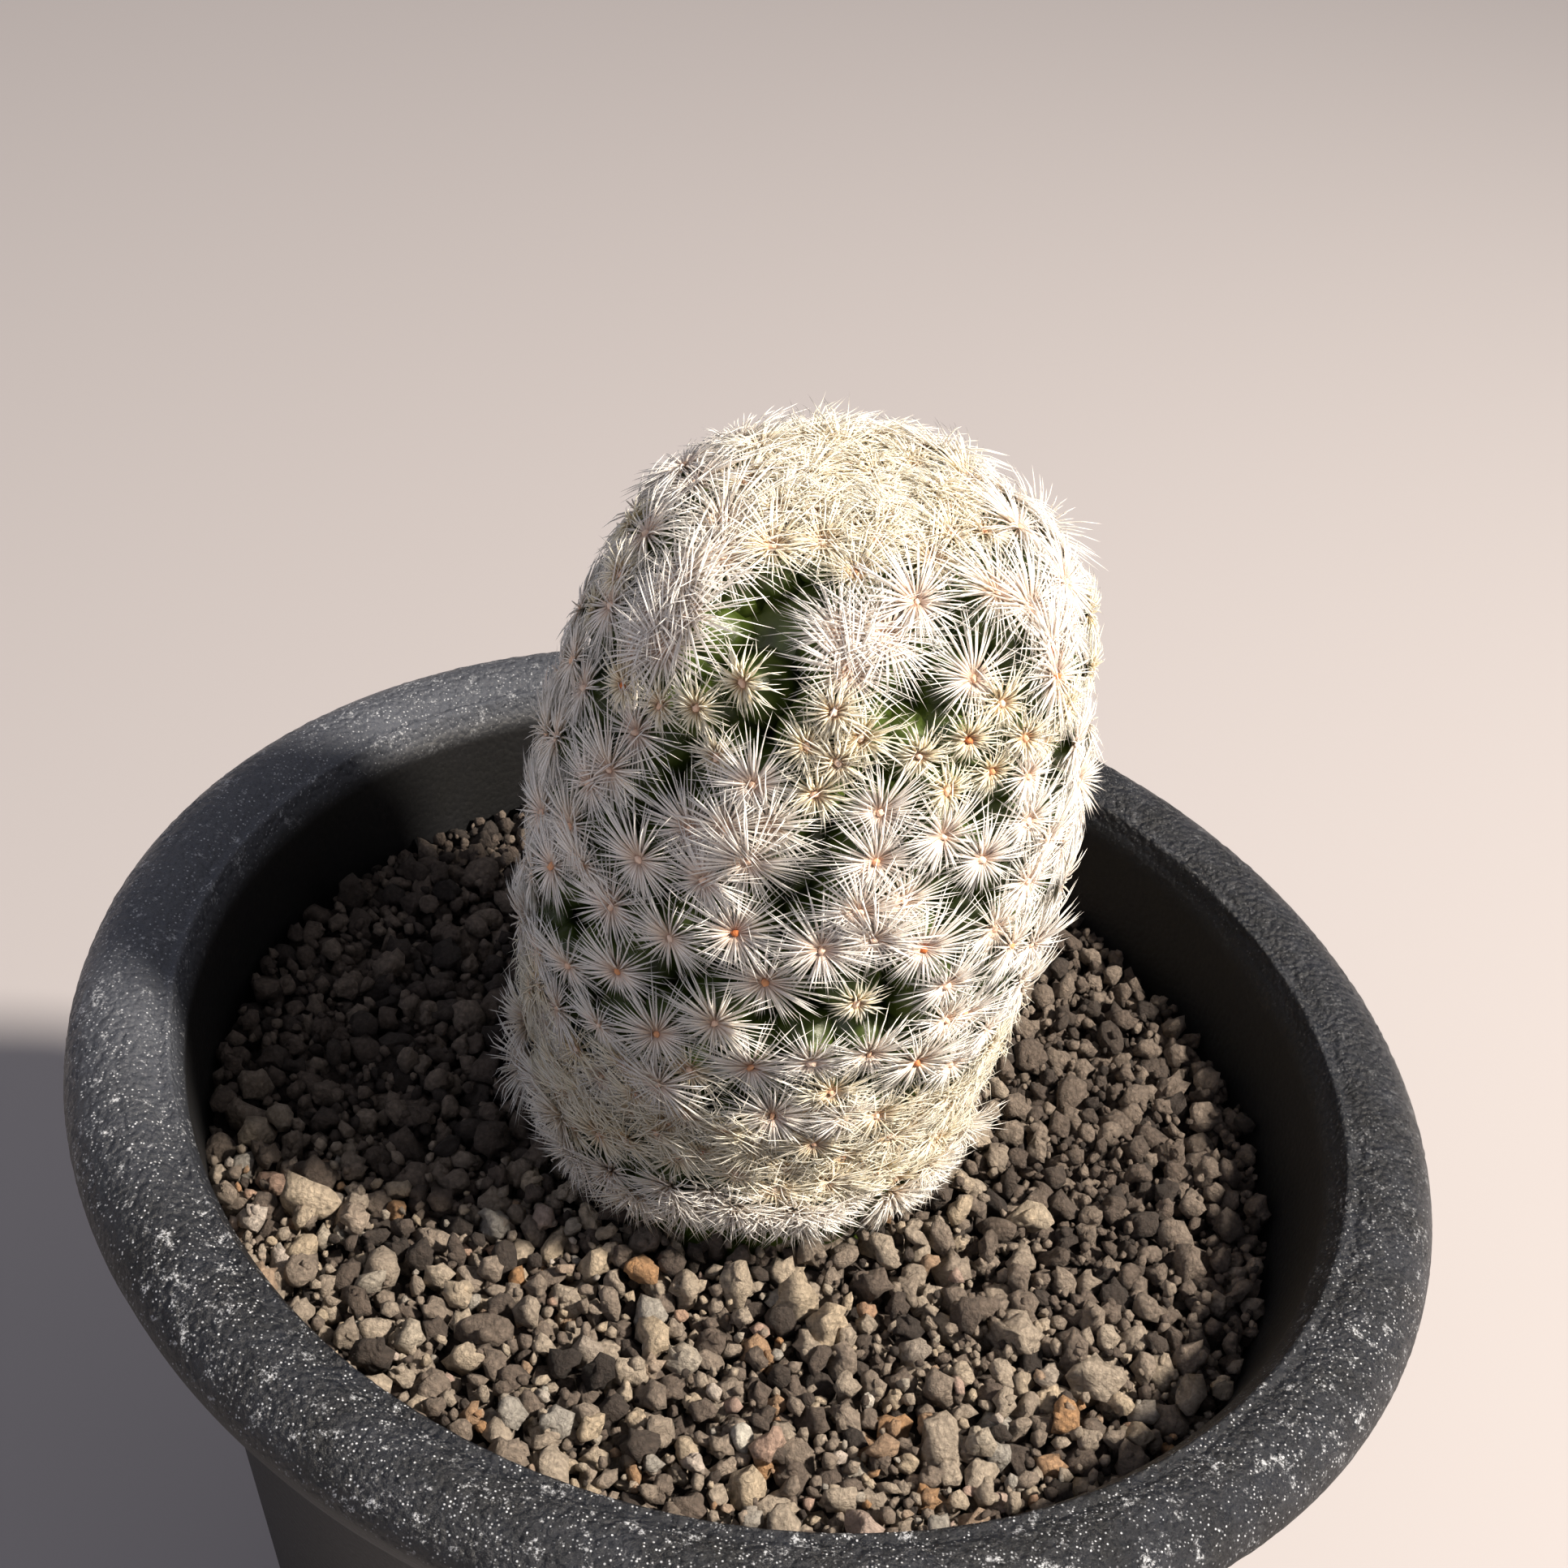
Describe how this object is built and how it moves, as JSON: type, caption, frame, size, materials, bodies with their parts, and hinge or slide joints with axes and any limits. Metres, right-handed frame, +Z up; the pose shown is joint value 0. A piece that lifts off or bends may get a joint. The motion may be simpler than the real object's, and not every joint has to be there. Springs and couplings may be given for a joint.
{
  "type": "potted mammillaria",
  "caption": "Small columnar cactus covered in white star-shaped spine clusters, standing in granular mix in a round tapering pot with a broad lip.",
  "frame": {"origin": "centre of the pot's foot, on the surface that it stands on", "axes": "+Z up along the pot's axis; +X to the right and +Y away from the viewer of the picture"},
  "size_m": [0.095, 0.095, 0.1242],
  "materials": {
    "pot": "satin charcoal plastic with a gritty lip",
    "soil": "dry matt mineral granules",
    "cactus": "white spines over waxy dark green flesh"
  },
  "bodies": {
    "root": {"pot": "pot", "soil": "soil", "cactus": "cactus"}
  },
  "joints": []
}
